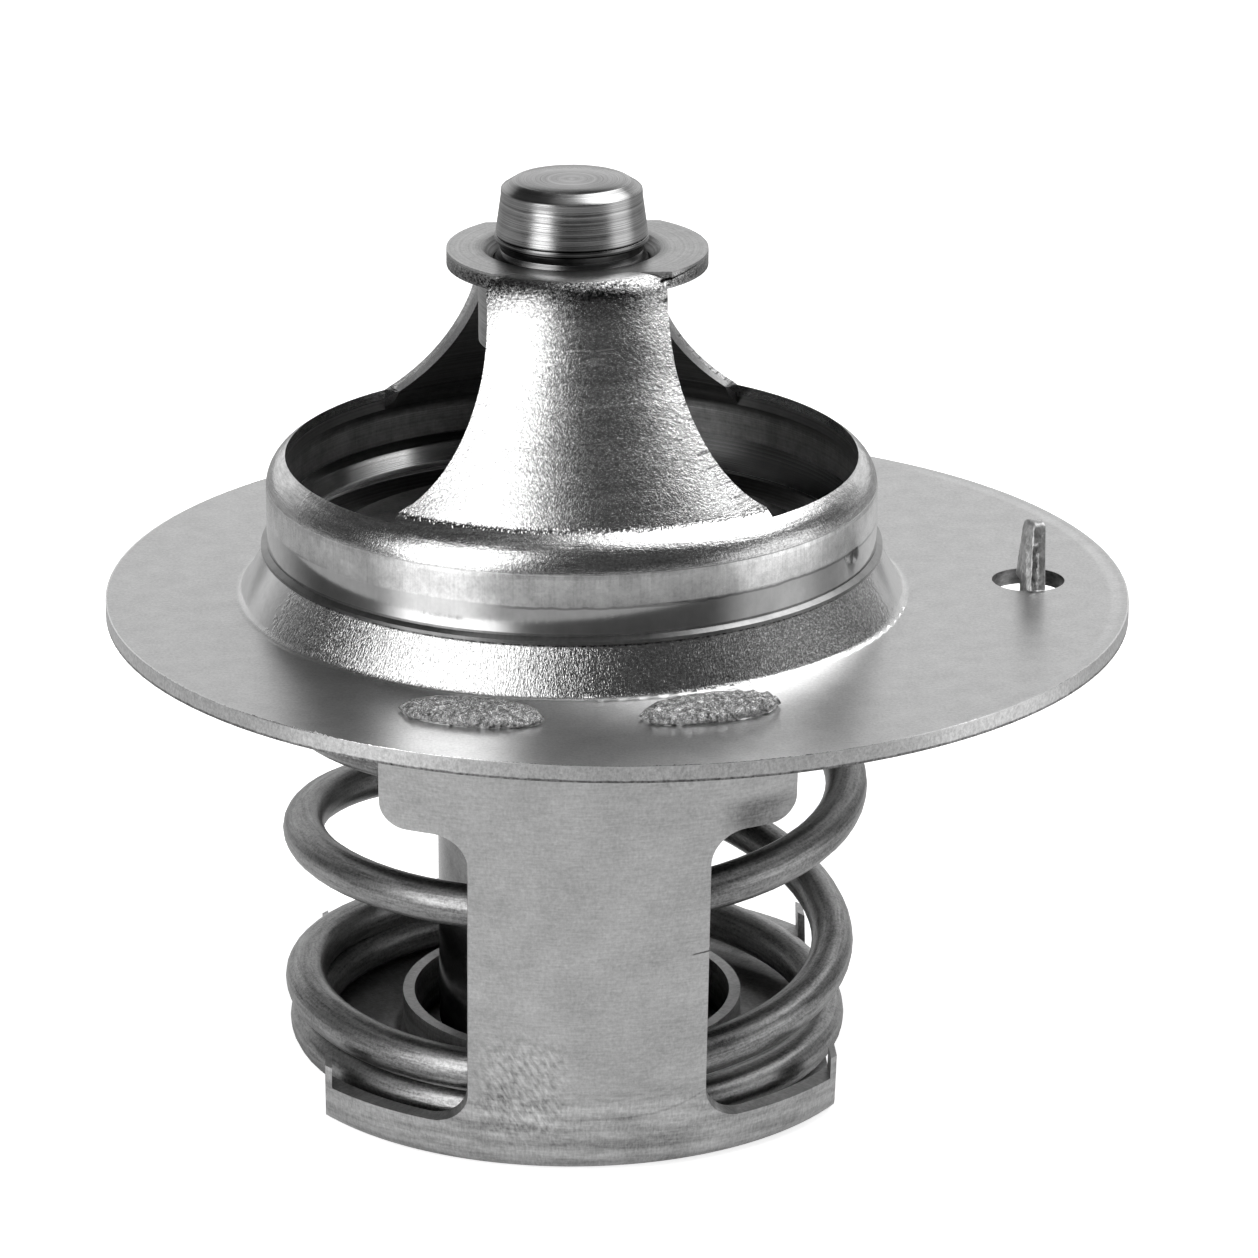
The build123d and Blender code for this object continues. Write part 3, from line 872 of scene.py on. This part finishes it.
def plugProfile():
    s = plugSizes
    chooser = random.Random(s["seed"])
    profile = list(s["nose"])
    height, end = s["turned"]
    while height > end:
        taper = s["noseRadius"] + (s["turned"][0] - height) * s["taper"]
        profile.append((taper + chooser.uniform(-1, 0.4) * s["ridge"], height))
        height -= s["pitch"] * chooser.uniform(0.6, 1.5)
    profile += s["bead"] + s["collar"]
    height, end = s["shank"]
    while height > end:
        profile.append((s["shankRadius"] + chooser.uniform(-1, 0) * s["ridge"], height))
        height -= s["pitch"] * chooser.uniform(1.5, 3)
    return profile + s["bore"]


def makePlug():
    s = plugSizes
    points = [(r * mm, 0, z * mm) for r, z in plugProfile()]
    piece = meshPiece("adjustingPlug", points, [(i, i + 1) for i in range(len(points) - 1)], [])
    selectOnly(piece)
    bpy.ops.object.mode_set(mode="EDIT")
    bpy.ops.mesh.select_all(action="SELECT")
    bpy.ops.mesh.spin(steps=s["segments"], angle=math.tau, center=(0, 0, 0), axis=(0, 0, 1))
    bpy.ops.mesh.select_all(action="SELECT")
    bpy.ops.mesh.remove_doubles(threshold=0.001 * mm)
    bpy.ops.mesh.normals_make_consistent(inside=False)
    bpy.ops.object.mode_set(mode="OBJECT")
    bpy.ops.object.shade_smooth_by_angle(angle=math.radians(s["smooth"]))
    piece.data.materials.append(turned)
    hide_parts("adjusting_plug")
    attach(piece, "frame")


# Staked tabs: what was hammered over the slots, a torn crust with an overhanging edge, in millimetres
stakeSizes = {
    "ring": 16.66,    # radius that their middles lie on, and their turn from the strut's middle
    "turn": 16.8,
    "halfLength": 2.92,
    "halfWidth": 1.33,
    "height": 0.48,
    "overhang": 1.015,
    "tuckIn": 0.95,    # the bottom ring, under the overhang
    "edgeWaves": [(4, 0.06), (15, 0.05)],    # how many, and how far out
    "lumps": {"size": 0.24, "height": 0.13, "rough": 0.5, "finer": 2.2, "octaves": 3},
    "swell": {"size": 0.6, "height": 0.05},
    "calm": (0.75, 0.25),    # the crust is flatter on the side of the neck
    "dip": -0.02,
    "ridged": 277,    # the one crust that has slanting ridges
    "ridges": {"start": 0.9, "along": 8.5, "across": 6, "height": 0.09, "most": 0.6},
    "rim": {"power": 14, "height": 0.12},
    "frayed": {"size": 0.13, "reach": 0.07},
    "rings": 34,
    "segments": 240,
    "smooth": 60,
}


def stakePoint(ring, segment, seed):
    s = stakeSizes
    lastRing = ring == s["rings"] - 1
    part = min(ring / (s["rings"] - 2), 1)
    turn = math.tau * segment / s["segments"]
    along, across = math.cos(turn), math.sin(turn)
    edge = sum(noise.noise(Vector((along * n, across * n, seed))) * out for n, out in s["edgeWaves"])
    spread = part * (s["overhang"] + edge) * (s["tuckIn"] if lastRing else 1)
    u, v = along * spread * s["halfLength"], across * spread * s["halfWidth"]
    here = Vector((u, v, seed))
    lumps, swell, ridges, frayed = s["lumps"], s["swell"], s["ridges"], s["frayed"]
    crust = noise.fractal(here / lumps["size"], lumps["rough"], lumps["finer"], lumps["octaves"])
    crust = crust * lumps["height"] + noise.noise(here / swell["size"]) * swell["height"]
    crust *= min(max(across * part + s["calm"][0], s["calm"][1]), 1)
    if seed == s["ridged"] and u > ridges["start"]:
        wave = max(math.sin(u * ridges["along"] + v * ridges["across"]), 0)
        crust += wave * ridges["height"] * min(u - ridges["start"], ridges["most"])
    rim = part ** s["rim"]["power"]
    height = s["height"] * (1 - rim) + s["rim"]["height"] * rim + max(crust, s["dip"])
    pushed = noise.noise(here / frayed["size"]) * frayed["reach"] * part**3
    u, v = u + along * pushed, v + across * pushed
    return u, v, 0.0 if lastRing else max(height, 0.0)


def makeStakes():
    s = stakeSizes
    count = s["segments"]
    points, faces = [], []
    for side in (90, 270):
        for way in (-1, 1):
            middle = math.radians(side + way * s["turn"])
            outward = Vector((math.cos(middle), math.sin(middle), 0))
            sideways = Vector((-math.sin(middle), math.cos(middle), 0))
            first = len(points)
            for ring in range(1, s["rings"]):
                for segment in range(count):
                    u, v, height = stakePoint(ring, segment, side + way * 7)
                    place = outward * (s["ring"] + v) + sideways * u
                    points.append(Vector((place.x, place.y, height)) * mm)
            last = first + (s["rings"] - 2) * count
            faces.append([first + i for i in range(count)])
            faces.append([last + i for i in reversed(range(count))])
            for ring in range(s["rings"] - 2):
                for i in range(count):
                    a, b = first + ring * count + i, first + ring * count + (i + 1) % count
                    faces.append([a, a + count, b + count, b])
    piece = meshPiece("stakeCrust", points, [], faces)
    finishPiece(piece, s["smooth"], close=False)
    piece.data.materials.append(stakeMetal())
    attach(piece, "frame")


# Burr that the blanking die left round the flange's top edge, mainly at the front, in millimetres
burrSizes = {
    "radius": 21.985,
    "shift": 1.95,
    "width": 0.11,
    "height": 0.09,
    "foot": 0.001,
    "root": -0.04,
    "crest": 0.2,    # share of the width from the edge
    "teeth": [(160, 1.0), (420, 0.5)],
    "patches": (5, 0.35, 1.6),
    "front": (0.35, 1.5, 0.12),
    "thin": 0.4,
    "segments": 2400,
    "smooth": 30,
}


def makeBurr():
    s = burrSizes
    points, faces = [], []
    many, plain, ragged = s["patches"]
    start, fall, least = s["front"]
    for i in range(s["segments"]):
        turn = math.tau * i / s["segments"]
        along = Vector((math.cos(turn), math.sin(turn), 0.3))
        torn = sum(abs(noise.noise(along * teeth)) * share for teeth, share in s["teeth"])
        patch = plain + max(noise.noise(along * many), 0) * ragged
        patch *= min(max(start - along.y * fall, least), 1)
        wide = s["width"] * (s["thin"] + torn * patch)
        section = (
            (s["radius"] - wide, s["foot"]),
            (s["radius"] - wide * s["crest"], s["height"] * torn * patch),
            (s["radius"], s["root"]),
        )
        for radius, height in section:
            points.append(Vector((s["shift"] + radius * along.x, radius * along.y, height)) * mm)
    for i in range(s["segments"]):
        after = (i + 1) % s["segments"]
        for j in range(3):
            k = (j + 1) % 3
            faces.append([3 * i + j, 3 * after + j, 3 * after + k, 3 * i + k])
    piece = meshPiece("flangeBurr", points, [], faces)
    finishPiece(piece, s["smooth"], close=False)
    piece.data.materials.append(plainMetal("burrMetal", 0.8, 0.2))
    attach(piece, "frame")


# Bleed pin, in millimetres: a hammered blade with a cold shut down its front edge, over its rod and weight
pinSizes = {
    "place": 19.78,
    "turn": 94.6,
    "lean": 5.0,
    "thickness": 0.8,
    "heights": (0.06, 2.65),
    "front": (1.68, 0.34),    # at the bottom and at the top, as the next two
    "back": (0.85, 0.42),
    "corner": (0.12, 0.27),
    "cornerLength": 2.2,
    "crown": (0.91, 0.13),    # where the top starts to round, and how far in it goes
    "frontDepth": 0.2,
    "wander": (2.4, 0.10),
    "shut": {
        "middle": -0.02, "half": 0.13, "top": 1.72, "fade": 5, "depth": 0.05, "even": 0.5, "uneven": 1.4,
    },
    "lump": {"height": 1.83, "size": (0.13, 0.12), "rise": 0.06},
    "dents": [(3, 0.03), (9, 0.012)],
    "rod": 0.36,
    "root": 0.2,
    "weight": 1.75,
    "weightHeight": -2.823,
    "weightSteps": 32,
    "rings": 70,
    "around": 110,
    "rodSegments": 64,
    "smooth": 35,
}


def bladeRing(part):
    s = pinSizes
    half = s["thickness"] / 2
    front, back, corner = (a + (b - a) * part for a, b in (s["front"], s["back"], s["corner"]))
    corners = [
        (half, -front),
        (corner - half, -front),
        (-half, s["cornerLength"] * corner - front),
        (-half, back),
        (half, back),
    ]
    edges = [(Vector(a), Vector(b)) for a, b in zip(corners, corners[1:] + corners[:1])]
    total = sum((b - a).length for a, b in edges)
    ring = []
    for i in range(s["around"]):
        left = total * i / s["around"]
        for a, b in edges:
            if left <= (b - a).length:
                break
            left -= (b - a).length
        ring.append(a.lerp(b, min(left / (b - a).length, 1)))
    for smoothing in range(2):
        ring = [(ring[i - 1] + ring[i] * 2 + ring[(i + 1) % len(ring)]) / 4 for i in range(len(ring))]
    return ring, front


def bladePoint(place, front, height):
    s = pinSizes
    shutSizes, lumpSizes = s["shut"], s["lump"]
    u, v = place
    onFront = max(0, 1 - abs(v + front) / s["frontDepth"])
    wander = noise.noise(Vector((0, 0, height * s["wander"][0]))) * s["wander"][1]
    shut = max(0, 1 - abs(u - shutSizes["middle"] - wander) / shutSizes["half"])
    shut *= min(max((shutSizes["top"] - height) * shutSizes["fade"], 0), 1)
    torn = abs(noise.noise(Vector((u * 3, 0, height * 6))))
    shut *= shutSizes["even"] + torn * shutSizes["uneven"]
    wide, tall = lumpSizes["size"]
    lump = max(0, 1 - Vector((u / wide, (height - lumpSizes["height"]) / tall)).length)
    dent = sum(noise.noise(Vector((u, v, height)) * size) * depth for size, depth in s["dents"])
    v += onFront * (shut * shutSizes["depth"] - lump * lumpSizes["rise"]) + dent * onFront
    u += dent * (1 - onFront) + math.tan(math.radians(s["lean"])) * height
    turn = math.radians(s["turn"])
    return (
        s["place"] + v * math.cos(turn) + u * math.sin(turn),
        v * math.sin(turn) - u * math.cos(turn),
        height,
    )


def addBlade(points, faces):
    s = pinSizes
    low, high = s["heights"]
    crownStart, crownInset = s["crown"]
    count = s["around"]
    for i in range(s["rings"]):
        part = i / (s["rings"] - 1)
        ring, front = bladeRing(part)
        end = max(part - crownStart, 0) / (1 - crownStart)
        inset = crownInset * (1 - math.sqrt(max(1 - end * end, 0)))
        middle = sum(ring, Vector((0, 0))) / count
        for place in ring:
            away = middle - place
            moved = place + away.normalized() * min(inset, away.length * 0.9)
            points.append(Vector(bladePoint(moved, front, low + (high - low) * part)) * mm)
    for i in range(s["rings"] - 1):
        for j in range(count):
            a, b = i * count + j, i * count + (j + 1) % count
            faces.append([a, b, b + count, a + count])
    faces.append([(s["rings"] - 1) * count + j for j in range(count)])
    faces.append([count - 1 - j for j in range(count)])


def addRodAndWeight(points, faces):    # turned about the pin's own axis
    s = pinSizes
    profile = [(0.0, s["root"]), (s["rod"], s["root"])]
    for i in range(s["weightSteps"] + 1):
        part = i / s["weightSteps"]
        tilt = math.asin(s["rod"] / s["weight"]) * (1 - part) + math.pi * part
        profile.append((s["weight"] * math.sin(tilt), s["weightHeight"] + s["weight"] * math.cos(tilt)))
    first = len(points)
    steps = s["rodSegments"]
    for radius, height in profile:
        for j in range(steps):
            turn = math.tau * j / steps
            place = (s["place"] + radius * math.cos(turn), radius * math.sin(turn), height)
            points.append(Vector(place) * mm)
    for i in range(len(profile) - 1):
        for j in range(steps):
            a, b = first + i * steps + j, first + i * steps + (j + 1) % steps
            faces.append([a, a + steps, b + steps, b])


def makePin():
    points, faces = [], []
    addBlade(points, faces)
    addRodAndWeight(points, faces)
    piece = meshPiece("bleedPin", points, [], faces)
    finishPiece(piece, pinSizes["smooth"])
    piece.data.materials.append(hammeredWire())
    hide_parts("bleed_pin")
    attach(piece, "bleed")


makePin()
makePlug()
makeStakes()
makeBurr()
print("pin, plug, stakes and burr made")


# Camera, fitted to the photo's ellipses: its place in millimetres, looking at the frame's origin
view = {
    "place": (-11.30, -231.08, 79.25),
    "lens": 162.3,
    "sensor": 36,
    "shift": (0.0455, -0.0335),
    "clip": (10, 10000),
}


def makeCamera():
    data = bpy.data.cameras.new("camera")
    data.lens = view["lens"]
    data.sensor_width = view["sensor"]
    data.shift_x, data.shift_y = view["shift"]
    data.clip_start, data.clip_end = (distance * mm for distance in view["clip"])
    camera = addPiece("camera", data)
    camera.location = Vector(view["place"]) * mm
    camera.rotation_euler = (-camera.location).to_track_quat("-Z", "Y").to_euler()
    bpy.context.scene.camera = camera


makeCamera()

# Studio light by direction: the turn from the camera and the height over the horizon, in degrees
studio = {
    "fill": 0.07,
    "roof": 0.30,
    "roofStart": (74, 16),
    "back": 0.90,
    "backTurn": (132, 44),
    "backTop": (28, 10),
    "boxes": [
        {"turn": (-72, -29), "turnSoft": 16, "height": (12, 60), "heightSoft": 16, "light": 3.4},
        {"turn": (-62, -36), "turnSoft": 14, "height": (-8, 12), "heightSoft": 16, "light": 3.6},
        {"turn": (82, 160), "turnSoft": 22, "height": (39, 79), "heightSoft": 17, "light": 4.3},
        {"turn": (60, 98), "turnSoft": 18, "height": (-14, 20), "heightSoft": 18, "light": 1.4},
    ],
}


def studioLight(across, up):
    light = across.maths("ABSOLUTE").above(*studio["backTurn"]) * up.below(*studio["backTop"])
    light = light * (studio["back"] - studio["fill"]) + studio["fill"]
    light = light + up.above(*studio["roofStart"]) * (studio["roof"] - studio["fill"])
    for box in studio["boxes"]:
        patch = across.between(*box["turn"], box["turnSoft"]) * up.between(*box["height"], box["heightSoft"])
        light = light + patch * box["light"]
    return light


def turnFromCamera(x, y):
    return x.maths("ARCTAN2", 0 - y) * (180 / math.pi)


def makeWorld():
    world = bpy.data.worlds.new("studio")
    world.use_nodes = True
    bpy.context.scene.world = world
    shade = Shade(world.node_tree)
    x, y, z = shade.split(shade.node("TexCoord", {}, {}, output="Generated"))
    light = studioLight(turnFromCamera(x, y), z.maths("ARCSINE") * (180 / math.pi))
    camera = shade.node("LightPath", {}, {}, output="Is Camera Ray")
    background = shade.node("Background", {}, {"Color": 1.0, "Strength": camera + (1 - camera) * light})
    shade.node("OutputWorld", {}, {"Surface": background})


# White paper, sizes in millimetres: metal mirrors it dimmer, with the studio's two low boxes on it
floorSizes = {
    "size": 3000,
    "gap": 0.01,
    "whiteness": 0.8,
    "glow": 0.72,
    "open": (9.5, 3),    # no light gets in under the cage
    "lit": (13, 8),
    "far": (72, 45),
    "nearLight": 0.72,
    "haze": 0.36,
    "left": (-66, -34, 18),
    "leftLight": 0.9,
    "right": (60, 98, 18),
    "rightLight": 0.9,
}


def makeFloor():
    s = floorSizes
    bpy.ops.mesh.primitive_plane_add(size=s["size"] * mm, location=(0, 0, cadBox[0][2] - s["gap"] * mm))
    floor = bpy.context.object
    floor.name = "floor"
    material, shade = newMaterial("paper")
    x, y, z = shade.split(placeInMm(shade))
    radius = reach(x, y)
    far = radius.above(*s["far"])
    across = turnFromCamera(x, y)
    boxes = across.between(*s["left"]) * s["leftLight"] + across.between(*s["right"]) * s["rightLight"]
    shown = far * (boxes + s["haze"]) + (1 - far) * s["nearLight"]
    glossy = shade.node("LightPath", {}, {}, output="Is Glossy Ray")
    matte = shade.node("BsdfDiffuse", {}, {"Color": s["whiteness"]})
    glow = shade.node("Emission", {}, {"Color": 1.0, "Strength": radius.above(*s["open"]) * s["glow"]})
    paper = shade.node("AddShader", {}, {0: matte, 1: glow})
    seen = shade.node("Emission", {}, {"Color": 1.0, "Strength": shown * radius.above(*s["lit"])})
    mixed = shade.node("MixShader", {}, {0: glossy, 1: paper, 2: seen})
    shade.node("OutputMaterial", {}, {"Surface": mixed})
    floor.data.materials.append(material)


makeWorld()
makeFloor()
bpy.context.scene.view_settings.view_transform = "Standard"
print("studio made")
